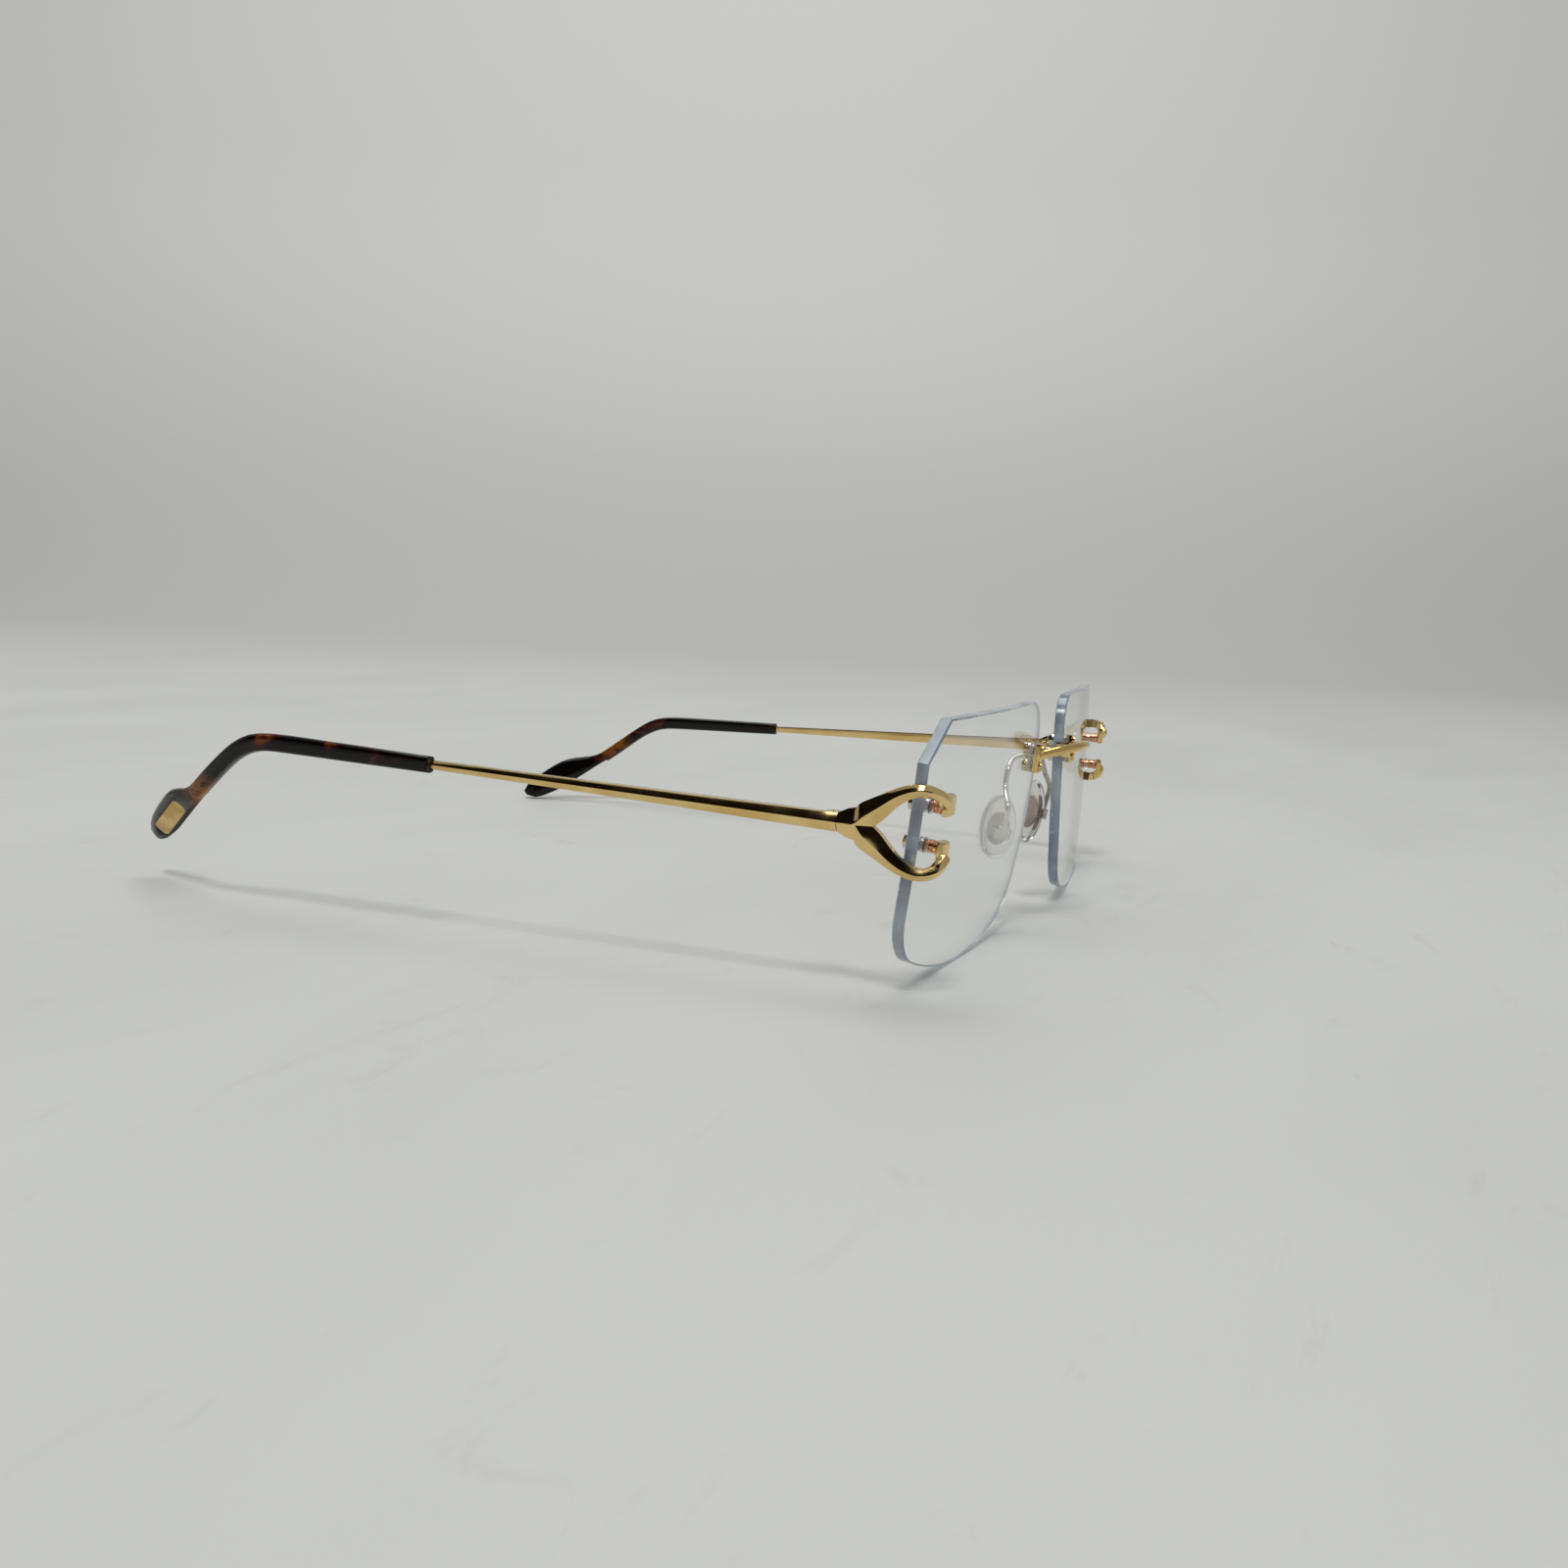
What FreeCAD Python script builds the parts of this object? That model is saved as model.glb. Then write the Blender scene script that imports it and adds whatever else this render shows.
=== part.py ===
"""Rimless eyeglasses: two drilled lenses, a screwed bridge, forked end pieces and folding temples.

Frame: +Z up, the front of the glasses looks along -Y, the wearer's left is +X. The glasses stand on the
lower edges of the lenses and on the left temple tip. Millimetres throughout.
Working places below are given from the middle of the hinge line; REST moves them to the standing frame.
"""
import FreeCAD, Part
import math
import os

Vector = FreeCAD.Vector
Rotation = FreeCAD.Rotation
Placement = FreeCAD.Placement

SIDES = {"left": 1, "right": -1}
WORDS = {1: "left", -1: "right"}

DRIVING = {
    # where the working frame stands in the part's own frame
    "hinge_setback": -55.04, "stand_height": 24.27,
    # lenses
    "lens_centre_x": 35.2, "left_lens_y": -13.1, "right_lens_y": -11.65, "left_lens_z": -4.54,
    "right_lens_z": -4.7, "left_lens_wrap": 5.7, "right_lens_wrap": 3.3, "left_lens_lean": 0.2,
    "right_lens_lean": 5.2, "lens_bow": 400.0, "lens_thick": 1.8, "lens_blank": 12.0, "lens_bevel": 0.22,
    "lens_bore_dia": 1.92, "drill_start": 4.0,
    # the four drilled places of a lens, from its centre
    "nasal_bore_u": 25.4, "nasal_bore_high": 11.35, "nasal_bore_low": 8.53,
    "outer_bore_u": 25.4, "outer_bore_high": 7.53, "outer_bore_low": 1.91,
    # fasteners through the lenses
    "shank_dia": 1.2, "thread_bore_dia": 1.24, "sleeve_dia": 1.9, "flange_dia": 2.3, "flange_thick": 0.25,
    "seat_gap": 0.005, "washer_dia": 2.3, "washer_thick": 0.25, "nut_size": 2.3, "nut_thick": 0.95,
    "screw_head_dia": 1.6, "screw_head_thick": 0.5, "screw_slot": 0.3, "barrel_dia": 2.0,
    # bridge
    "bridge_dia": 1.56, "foot_wide": 2.1, "foot_tall": 4.9, "foot_thick": 0.95, "saddle_start": 3.0,
    "saddle_wide": 0.8, "saddle_tall": 2.6, "saddle_deep": 1.1,
    # end pieces
    "cap_wide": 2.4, "cap_tall": 3.1, "cap_thick": 1.1, "cap_reach": 2.1, "cap_bevel": 0.3, "cap_offset": 0.5,
    "spigot_long": 0.77, "lower_prong_spread": 1.08, "fork_lean": 0.025,
    # hinges
    "pivot_x": 63.5, "pivot_y": 3.1, "hinge_drop": 0.3,
    "knuckle_dia": 2.3, "knuckle_bore_dia": 1.26, "hinge_pin_dia": 1.2,
    "outer_knuckle": 0.6, "middle_knuckle": 0.95, "hinge_washer_thick": 0.1, "knuckle_gap": 0.12,
    "pin_head_dia": 2.0, "pin_head_thick": 0.25, "temple_tilt": 2.05,
    "leaf_arm_in": 0.55, "leaf_arm_out": 0.85, "front_arm_long": 2.3, "rear_arm_long": 1.9,
    "front_leaf_in": 0.47, "front_leaf_out": 1.12, "front_leaf_start": 4.9, "front_leaf_end": 1.75,
    "rear_leaf_in": 0.5, "rear_leaf_out": 1.27, "rear_leaf_start": 1.35, "rear_leaf_end": 5.5,
    "rear_leaf_half": 0.9,
    # nose pads
    "arm_dia": 0.9, "pad_long": 11.7, "pad_wide": 6.0, "pad_thick": 2.7, "pad_splay": 30.0,
    "pad_lean": 11.0, "pad_x": 11.0, "left_pad_y": -8.9, "right_pad_y": -6.9, "pad_z": -7.0, "pad_drop": 2.2,
    "core_long": 6.0, "core_wide": 3.6, "core_thick": 1.1, "core_raise": 0.1, "tab_wide": 0.8, "tab_dia": 1.5,
    "tab_bore_dia": 0.9, "pad_pin_dia": 0.8, "box_wide": 2.4, "box_tall": 1.9, "box_deep": 1.8,
    "box_slot": 1.0, "box_lip": 0.6, "slot_spare": 0.1, "pad_pin_head_dia": 1.3, "pad_pin_head_thick": 0.35,
    # temple tips
    "wire_core_dia": 1.1, "plaque_long": 10.6, "plaque_wide": 2.8, "plaque_thick": 0.5, "plaque_roll": 25.0,
    "plaque_round": 0.9, "flat_long": 24.0, "flat_wide": 12.0, "flat_deep": 5.0,
}

# One prong of the forked end piece: middle of the section (x, y, z), width, thickness, turn of its face
# from facing outward (0) to facing forward (90).
PRONG = [
    (65.65, 0.0, 0.0, 2.70, 2.00, 0.0),
    (65.65, -1.9, 0.95, 3.40, 2.00, 0.0),
    (65.55, -3.4, 2.10, 3.50, 2.00, 0.0),
    (65.40, -4.8, 3.15, 2.90, 1.95, 0.0),
    (65.20, -6.3, 4.25, 2.35, 1.90, 0.0),
    (64.95, -7.9, 5.10, 2.00, 1.80, 0.0),
    (64.70, -9.5, 5.55, 1.75, 1.70, 0.0),
    (64.20, -11.0, 5.50, 1.65, 1.60, 18.0),
    (63.25, -12.15, 4.95, 1.60, 1.50, 45.0),
    (62.20, -12.75, 4.15, 1.70, 1.40, 72.0),
    (61.30, -12.85, 3.50, 1.80, 1.30, 90.0),
]

# The root of the fork, where it widens from the bar: middle (x, y), height, thickness.
ROOT = [
    (65.78, 1.58, 2.68, 1.98),
    (65.70, 0.2, 4.10, 1.90),
    (65.40, -2.0, 5.10, 1.30),
]

# Temple bar: (x, y, height, thickness) of its house-shaped section.
BAR = [
    (65.79, 1.66, 2.66, 1.98),
    (65.92, 3.4, 2.58, 1.94),
    (66.60, 16.0, 2.20, 1.70),
    (67.60, 34.0, 1.80, 1.50),
    (68.80, 56.0, 1.50, 1.30),
    (69.45, 67.2, 1.28, 1.20),
]

# Temple tip: upper edge (y, z), lower edge (y, z), sideways place and thickness of each station.
TIP = [
    (66.5, 1.28, 66.5, -1.28, 69.45, 2.20),
    (76.0, 1.38, 76.0, -1.33, 70.05, 2.30),
    (86.0, 1.46, 86.0, -1.36, 70.65, 2.40),
    (94.0, 1.45, 93.6, -1.40, 71.05, 2.50),
    (99.3, 0.85, 97.7, -1.75, 71.15, 2.60),
    (103.7, -1.35, 101.9, -3.40, 70.80, 2.60),
    (107.9, -4.40, 106.2, -6.40, 70.00, 2.55),
    (111.6, -7.20, 109.9, -9.30, 69.00, 2.50),
    (114.7, -9.20, 113.1, -11.60, 67.90, 2.50),
    (117.9, -9.85, 115.9, -13.60, 66.50, 2.85),
    (121.6, -10.70, 119.2, -15.90, 64.80, 3.15),
    (125.0, -12.80, 122.4, -18.00, 63.10, 3.15),
    (128.0, -15.20, 125.5, -19.60, 61.55, 2.90),
    (129.9, -17.20, 127.8, -20.35, 60.40, 2.40),
    (130.6, -18.60, 129.6, -19.90, 59.90, 1.40),
]
TIP_STATIONS = 40
TIP_RULED = True
# How far the corners of a tip's section reach: 0.71 would be an oval and 1 a rectangle.
TIP_CORNER = 0.80
# The plaque: the way it runs (inward, back, down) and the middle of its outer face.
PLAQUE_ALONG = (0.36, 0.74, -0.565)
PLAQUE_MIDDLE = (64.4, 122.3, -15.55)
# How far each tip is bent down: an optician sets the two sides one by one.
TIP_DROOP = {1: 0.955, -1: 1.09}

# Wire core of the tip, and the pad arm, as points along their middles.
CORE = [(69.45, 67.2, 0.0), (70.2, 80.0, 0.05), (71.0, 94.0, 0.05), (71.1, 99.0, -0.6), (70.5, 103.6, -3.2),
        (69.5, 107.8, -6.3), (68.5, 111.2, -8.8)]
PAD_ARM = [(6.55, -12.5, 4.9), (6.45, -10.2, 5.2), (7.6, -8.5, 4.9), (10.2, -7.9, 3.2), (12.0, -8.0, 0.0)]
# The arm's last points, up and away from the pad's pin.
PAD_ARM_END = [(4.4, 1.8), (2.2, 1.5), (0.3, 1.32)]
BRIDGE_ARCH = [(0.0, -19.5, 7.1), (3.6, -18.6, 6.9), (6.6, -16.2, 6.3), (8.8, -13.7, 5.4)]

# The frame has a slight twist, so the left lens and what is fixed at its nose side stand further forward.
# How far forward the left side's points at the nose stand, for one millimetre outward or downward.
NOSE_SHIFT_OUT = 0.21
NOSE_SHIFT_DOWN = 0.10

# The lens outline from its centre, sideways toward the temple and upward. Each stretch ends where the next
# one starts, and the last one ends at the start of the top edge.
LENS_OUTLINE = [
    ("line", (21.0, 19.3)),
    ("line", (27.75, 13.45)),
    ("line", (28.25, -8.4)),
    ("arc", (26.75, -13.1), (22.85, -15.95)),
    ("arc", (1.5, -19.7), (-17.3, -16.9)),
    ("arc", (-22.15, -13.7), (-24.75, -8.5)),
    ("arc", (-27.2, -0.4), (-28.25, 8.0)),
    ("line", (-28.1, 13.2)),
    ("arc", (-26.2, 17.7), (-21.7, 19.6)),
]

doc = FreeCAD.newDocument("RimlessEyeglasses")


def make_sheet():
    """Put the driving dimensions in a spreadsheet, one alias each."""
    sheet = doc.addObject("Spreadsheet::Sheet", "Sizes")
    for row, (alias, value) in enumerate(DRIVING.items(), start=1):
        sheet.set(f"A{row}", alias)
        sheet.set(f"B{row}", str(value))
        sheet.setAlias(f"B{row}", alias)
    doc.recompute()
    return sheet


sheet = make_sheet()


def size(alias):
    """Read one driving dimension."""
    return float(getattr(sheet, alias))


REST = Vector(0, size("hinge_setback"), size("stand_height"))


def bound(kind, name, place=None, **expressions):
    """Add a document object whose sizes follow the sheet."""
    thing = doc.addObject(kind, name)
    for prop, expression in expressions.items():
        thing.setExpression(prop, expression)
    if place is not None:
        thing.Placement = place
    return thing


def cell(formula):
    """Write a formula of aliases as an expression on the sheet: 'foot_wide / 2' -> 'Sizes.foot_wide / 2'."""
    words = formula.split()
    return " ".join(f"Sizes.{word}" if word in DRIVING else word for word in words)


def cylinder(name, place, radius, height):
    """A cylinder along its own Z, sized by formulas."""
    return bound("Part::Cylinder", name, place, Radius=cell(radius), Height=cell(height))


def box(name, place, length, width, height):
    """A box with its corner at the placement, sized by formulas."""
    return bound("Part::Box", name, place, Length=cell(length), Width=cell(width), Height=cell(height))


def cut(name, base, tool):
    """Base less tool."""
    thing = doc.addObject("Part::Cut", name)
    thing.Base = base
    thing.Tool = tool
    return thing


def fuse(name, pieces):
    """One solid from several."""
    thing = doc.addObject("Part::MultiFuse", name)
    thing.Shapes = pieces
    thing.Refine = True
    return thing


def group(name, pieces):
    """Several separate solids in one sub-part."""
    thing = doc.addObject("Part::Compound", name)
    thing.Links = pieces
    return thing


def tube(name, place, outer, inner, height):
    """A ring or sleeve along its own Z."""
    body = cylinder(f"{name}_body", place, outer, height)
    bore = cylinder(f"{name}_bore", place, inner, height)
    return cut(name, body, bore)


def lift(place, distance):
    """Move a placement along its own Z."""
    return place.multiply(Placement(Vector(0, 0, distance), Rotation()))


def at(place, x, y, z, turn=None):
    """A place inside another one."""
    return place.multiply(Placement(Vector(x, y, z), turn or Rotation()))


def label(thing, node):
    """Give a finished sub-part the name of its node."""
    thing.Label = node
    return thing


# ---------------------------------------------------------------- places that the lens decides

def lens_place(side):
    """Middle of a lens's front face, leaned and wrapped."""
    word = WORDS[side]
    spot = REST + Vector(side * size("lens_centre_x"), size(f"{word}_lens_y"), size(f"{word}_lens_z"))
    wrap = Rotation(Vector(0, 0, 1), side * size(f"{word}_lens_wrap"))
    lean = Rotation(Vector(1, 0, 0), size(f"{word}_lens_lean"))
    return Placement(spot, wrap.multiply(lean))


def bore_place(side, sideways, upward):
    """Front end of a hole through a lens: Z points forward, square to the glass."""
    bow = size("lens_bow")
    sag = bow - math.sqrt(bow ** 2 - sideways ** 2 - upward ** 2)
    front = Vector(side * sideways, sag, upward)
    normal = front - Vector(0, bow, 0)
    turned = Rotation(Vector(0, -1, 0), normal).multiply(Rotation(Vector(1, 0, 0), 90))
    return lens_place(side).multiply(Placement(front, turned))


def nasal_bores(side):
    """The two holes for the bridge."""
    heights = ("nasal_bore_high", "nasal_bore_low")
    return [bore_place(side, -size("nasal_bore_u"), size(height)) for height in heights]


def outer_bores(side):
    """The two holes for the end piece."""
    heights = ("outer_bore_high", "outer_bore_low")
    return [bore_place(side, size("outer_bore_u"), size(height)) for height in heights]


# ---------------------------------------------------------------- lenses

def outline_edges(side):
    """The lens outline as lines and arcs in the lens's own upright plane."""
    def spot(point):
        return Vector(side * point[0], point[1], 0)

    first = LENS_OUTLINE[-1][2]
    edges = []
    start = first
    for stretch in LENS_OUTLINE:
        end = stretch[-1]
        if stretch[0] == "line":
            edges.append(Part.LineSegment(spot(start), spot(end)))
        else:
            edges.append(Part.Arc(spot(start), spot(stretch[1]), spot(end)))
        start = end
    return edges


def plane_of(body, role):
    """One of a body's own origin planes."""
    return next(feature for feature in body.Origin.OriginFeatures if feature.Role == role)


def lens_blank(name, side):
    """A thick prism of the lens's outline, across the bow of the glass."""
    body = doc.addObject("PartDesign::Body", f"{name}_prism")
    sketch = body.newObject("Sketcher::SketchObject", f"{name}_outline")
    sketch.AttachmentSupport = [(plane_of(body, "XZ_Plane"), "")]
    sketch.MapMode = "FlatFace"
    sketch.addGeometry(outline_edges(side), False)
    pad = body.newObject("PartDesign::Pad", f"{name}_pad")
    pad.Profile = sketch
    pad.SideType = "Symmetric"
    pad.setExpression("Length", cell("lens_blank"))
    body.Placement = lens_place(side)
    return body


def make_lens(node, side):
    """A bowed, drilled and bevelled lens."""
    prism = lens_blank(node, side)
    middle = lens_place(side).multiply(Placement(Vector(0, size("lens_bow"), 0), Rotation()))
    outside = bound("Part::Sphere", f"{node}_front", middle, Radius=cell("lens_bow"))
    inside = bound("Part::Sphere", f"{node}_back", middle, Radius=cell("lens_bow - lens_thick"))
    shell = cut(f"{node}_shell", outside, inside)
    glass = doc.addObject("Part::MultiCommon", f"{node}_glass")
    glass.Shapes = [prism, shell]
    doc.recompute()
    polished = doc.addObject("Part::Chamfer", f"{node}_polished")
    polished.Base = glass
    bevel = size("lens_bevel")
    rim = [index for index, edge in enumerate(glass.Shape.Edges, start=1) if lies_on_bow(edge, middle.Base)]
    polished.Edges = [(index, bevel, bevel) for index in rim]
    bores = []
    for index, place in enumerate(nasal_bores(side) + outer_bores(side)):
        start = lift(place, -size("drill_start"))
        bores.append(cylinder(f"{node}_bore{index}", start, "lens_bore_dia / 2", "drill_start * 2"))
    drill = doc.addObject("Part::MultiFuse", f"{node}_drill")
    drill.Shapes = bores
    return label(cut(node, polished, drill), node)


def lies_on_bow(edge, middle):
    """True for an edge of the front or back face, which keeps one distance from the bow's middle."""
    points = edge.discretize(5)
    reach = [(point - middle).Length for point in points]
    return max(reach) - min(reach) < 0.01


# ---------------------------------------------------------------- fasteners through a lens

def make_sleeves(node, places):
    """Clear flanged sleeves that line the holes of a lens."""
    sleeves = []
    for index, place in enumerate(places):
        seat = lift(place, size("seat_gap"))
        back = lift(place, -size("lens_thick"))
        flange = tube(f"{node}_flange{index}", seat, "flange_dia / 2", "thread_bore_dia / 2", "flange_thick")
        lining = tube(f"{node}_lining{index}", back, "sleeve_dia / 2", "thread_bore_dia / 2",
                      "lens_thick + seat_gap")
        sleeves.append(fuse(f"{node}_{index}", [flange, lining]))
    return label(group(node, sleeves), node)


def behind(place, extra=0.0):
    """Just behind the back face of the glass, by the seat gap and an extra distance."""
    return lift(place, -size("lens_thick") - size("seat_gap") - extra)


def make_washers(node, places):
    """Clear washers between the nuts and the back of a lens."""
    rings = []
    for index, place in enumerate(places):
        low = behind(place, size("washer_thick"))
        rings.append(tube(f"{node}_{index}", low, "washer_dia / 2", "thread_bore_dia / 2", "washer_thick"))
    return label(group(node, rings), node)


def make_nuts(node, places):
    """Six-sided nuts behind the washers."""
    nuts = []
    for index, place in enumerate(places):
        low = behind(place, size("washer_thick") + size("seat_gap") + size("nut_thick"))
        hexagon = bound("Part::Prism", f"{node}_hex{index}", low, Circumradius=cell("nut_size / 2"),
                        Height=cell("nut_thick"))
        bore = cylinder(f"{node}_bore{index}", low, "thread_bore_dia / 2", "nut_thick")
        nuts.append(cut(f"{node}_{index}", hexagon, bore))
    return label(group(node, nuts), node)


# How far a threaded shank reaches behind the front face of the glass, as a formula.
SHANK_DEPTH = "lens_thick + washer_thick + nut_thick + 2 * seat_gap"


def shank_depth():
    """The same distance as a number."""
    return size("lens_thick") + size("washer_thick") + size("nut_thick") + 2 * size("seat_gap")


def make_bridge_screws(node, places):
    """Slotted screws that clamp the foot of the bridge to the lens."""
    screws = []
    seat = size("flange_thick") + size("foot_thick") + 3 * size("seat_gap")
    for index, place in enumerate(places):
        shank = cylinder(f"{node}_shank{index}", lift(place, -shank_depth()), "shank_dia / 2",
                         f"{SHANK_DEPTH} + flange_thick + foot_thick + 3 * seat_gap")
        head = cylinder(f"{node}_head{index}", lift(place, seat), "screw_head_dia / 2", "screw_head_thick")
        whole = fuse(f"{node}_whole{index}", [shank, head])
        corner = at(place, -size("screw_head_dia"), -size("screw_slot") / 2,
                    seat + size("screw_head_thick") / 2)
        slot = box(f"{node}_slot{index}", corner, "screw_head_dia * 2", "screw_slot", "screw_head_thick")
        screws.append(cut(f"{node}_{index}", whole, slot))
    return label(group(node, screws), node)


def make_studs(node, places):
    """Barrelled studs that carry the caps of the end piece in front of the lens."""
    studs = []
    foot = size("flange_thick") + 2 * size("seat_gap")
    for index, place in enumerate(places):
        shank = cylinder(f"{node}_shank{index}", lift(place, -shank_depth()), "shank_dia / 2",
                         f"{SHANK_DEPTH} + cap_reach + spigot_long")
        barrel = cylinder(f"{node}_barrel{index}", lift(place, foot), "barrel_dia / 2",
                          "cap_reach - flange_thick - 2 * seat_gap")
        studs.append(fuse(f"{node}_{index}", [shank, barrel]))
    return label(group(node, studs), node)


# ---------------------------------------------------------------- swept and lofted pieces

def polygon(points):
    """A closed straight-sided wire."""
    return Part.makePolygon(points + points[:1])


def solid_feature(node, shape):
    """Keep a computed shape as a document object at the working frame."""
    feature = doc.addObject("Part::Feature", node)
    feature.Shape = shape
    feature.Placement = Placement(REST, Rotation())
    return label(feature, node)


def curve_wire(points):
    """A smooth wire through points."""
    curve = Part.BSplineCurve()
    curve.interpolate([Vector(*point) for point in points])
    return Part.Wire([curve.toShape()])


def rod(points, diameter):
    """A round rod along a smooth curve."""
    spine = curve_wire(points)
    edge = spine.Edges[0]
    start = edge.valueAt(edge.FirstParameter)
    tangent = edge.tangentAt(edge.FirstParameter)
    section = Part.Wire([Part.makeCircle(diameter / 2, start, tangent)])
    return spine.makePipeShell([section], True, True)


def prong_sections(side, flip):
    """House-shaped sections along one prong; flip is 1 for the upper and -1 for the lower one."""
    spread = 1.0 if flip > 0 else size("lower_prong_spread")
    lean = -side * size("fork_lean")
    middles = [Vector(side * x, y, flip * spread * z + lean * y) for x, y, z, _, _, _ in PRONG]
    wires = []
    for index, (_, _, _, width, thick, turn) in enumerate(PRONG):
        ahead = middles[min(index + 1, len(middles) - 1)]
        behind_it = middles[max(index - 1, 0)]
        along = (ahead - behind_it).normalize()
        if index == 0:
            along = Vector(0, -1, 0)
        face = Vector(side * math.cos(math.radians(turn)), -math.sin(math.radians(turn)), 0)
        across = along.cross(face).normalize()
        face = across.cross(along).normalize()
        wires.append(house(middles[index], across * width / 2, face * thick / 2, 0.0))
    return wires


def root_sections(side):
    """House-shaped sections from the bar's own size to the start of the two prongs."""
    lean = -side * size("fork_lean")
    wires = []
    for x, y, height, thick in ROOT:
        middle = Vector(side * x, y, lean * y)
        wires.append(house(middle, Vector(0, 0, height / 2), Vector(side * thick / 2, 0, 0), 0.0))
    return wires


# How far out the walls of a five-sided section reach, as a share of half its thickness.
WALL_SHARE = 0.25
BAR_RIDGE = 0.08
BAR_STATIONS = 9


def house(middle, across, face, ridge):
    """A five-sided section: flat back, two low walls and a ridge on the outer face, set off by a share."""
    wall = face * WALL_SHARE
    return polygon([
        middle - across - face,
        middle + across - face,
        middle + across + wall,
        middle + across * ridge + face,
        middle - across + wall,
    ])


# The edges of a box's outer end, as numbered by its maker.
CAP_EDGES = (4, 8, 10, 12)


def cap_box(name, place, flip):
    """A square bevelled cap at a prong's end, over the front end of a stud."""
    corner = Vector(-size("cap_wide") / 2, -size("cap_tall") / 2 + size("cap_offset") * flip, size("cap_reach"))
    lump = box(name, place.multiply(Placement(corner, Rotation())), "cap_wide", "cap_tall", "cap_thick")
    doc.recompute()
    bevel = size("cap_bevel")
    bevelled = doc.addObject("Part::Chamfer", f"{name}_bevelled")
    bevelled.Base = lump
    bevelled.Edges = [(index, bevel, bevel) for index in CAP_EDGES]
    return bevelled


def make_endpiece(node, side):
    """The fork that runs from the hinge to the two studs, with a ridge along each prong."""
    shapes = [Part.makeLoft(prong_sections(side, flip), True, False) for flip in (1, -1)]
    shapes.append(Part.makeLoft(root_sections(side), True, True))
    arms = []
    for word, shape in zip(("upper", "lower", "root"), shapes):
        arm = doc.addObject("Part::Feature", f"{node}_{word}")
        arm.Shape = shape
        arm.Placement = Placement(REST, Rotation())
        arms.append(arm)
    caps = [cap_box(f"{node}_cap{index}", place, flip)
            for index, (place, flip) in enumerate(zip(outer_bores(side), (1, -1)))]
    return label(fuse(node, arms + caps), node)


def twisted(point):
    """A point on the left side of the nose, moved forward by the frame's twist."""
    x, y, z = point
    down = max(0.0, 5.0 - z)
    return (x, y - NOSE_SHIFT_OUT * x - NOSE_SHIFT_DOWN * down, z)


def bridge_foot(name, side):
    """The plate that is screwed to a lens, and the saddle that hooks round the lens's edge beside it."""
    high = (size("nasal_bore_high") + size("nasal_bore_low")) / 2
    middle = bore_place(side, -size("nasal_bore_u"), high)
    front = size("flange_thick") + 2 * size("seat_gap")
    foot_corner = Vector(-size("foot_wide") / 2, -size("foot_tall") / 2, front)
    foot = box(f"{name}_foot", at(middle, *foot_corner), "foot_wide", "foot_tall", "foot_thick")
    # toward the nose is -X on the left lens and +X on the right one
    near = size("saddle_start")
    far = near + size("saddle_wide")
    half = size("saddle_tall") / 2
    saddle_x = min(-side * near, -side * far)
    saddle = box(f"{name}_saddle", at(middle, saddle_x, -half, -size("saddle_deep")),
                 "saddle_wide", "saddle_tall", "saddle_deep + flange_thick + 2 * seat_gap + foot_thick")
    link = box(f"{name}_link", at(middle, min(0, -side * far), -half, front),
               "saddle_start + saddle_wide", "saddle_tall", "foot_thick")
    return [foot, saddle, link]


def make_bridge(node):
    """The arch over the nose, with a foot and a saddle on each lens."""
    left = [twisted(point) for point in BRIDGE_ARCH]
    points = [(-x, y, z) for x, y, z in reversed(BRIDGE_ARCH[1:])] + left
    arch = doc.addObject("Part::Feature", f"{node}_arch")
    arch.Shape = rod(points, size("bridge_dia"))
    arch.Placement = Placement(REST, Rotation())
    pieces = [arch]
    bores = []
    for word, side in SIDES.items():
        pieces += bridge_foot(f"{node}_{word}", side)
        bores += [cylinder(f"{node}_{word}_bore{index}", spot, "thread_bore_dia / 2", "foot_thick * 2")
                  for index, spot in enumerate(nasal_bores(side))]
    whole = fuse(f"{node}_whole", pieces)
    drill = doc.addObject("Part::MultiFuse", f"{node}_drill")
    drill.Shapes = bores
    return label(cut(node, whole, drill), node)


# ---------------------------------------------------------------- hinges

def pivot_place(side, height=0.0):
    """On a hinge's axis, at a height from the hinge line."""
    spot = Vector(side * size("pivot_x"), size("pivot_y"), height - size("hinge_drop"))
    return Placement(REST + spot, Rotation())


def tilt_place(side):
    """The temple's frame at its hinge: the left temple is set a little low and the right one high."""
    tilt = Rotation(Vector(1, 0, 0), -side * size("temple_tilt"))
    return Placement(REST + Vector(side * size("pivot_x"), size("pivot_y"), 0), tilt)


def side_box(name, place, sideways, fore_and_aft, heights, side):
    """A box between pairs of places: sideways (mirrored for the right), fore and aft, and upward."""
    near, far = sorted(side * reach for reach in sideways)
    lump = doc.addObject("Part::Box", name)
    lump.Length = far - near
    lump.Width = fore_and_aft[1] - fore_and_aft[0]
    lump.Height = heights[1] - heights[0]
    lump.Placement = at(place, near, fore_and_aft[0], heights[0])
    return lump


# The height of a hinge's knuckle stack, as a formula.
STACK_TALL = "middle_knuckle + 2 * knuckle_gap + 2 * outer_knuckle"


def stack_top():
    """Half the height of the hinge's knuckle stack."""
    return size("middle_knuckle") / 2 + size("knuckle_gap") + size("outer_knuckle")


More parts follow.
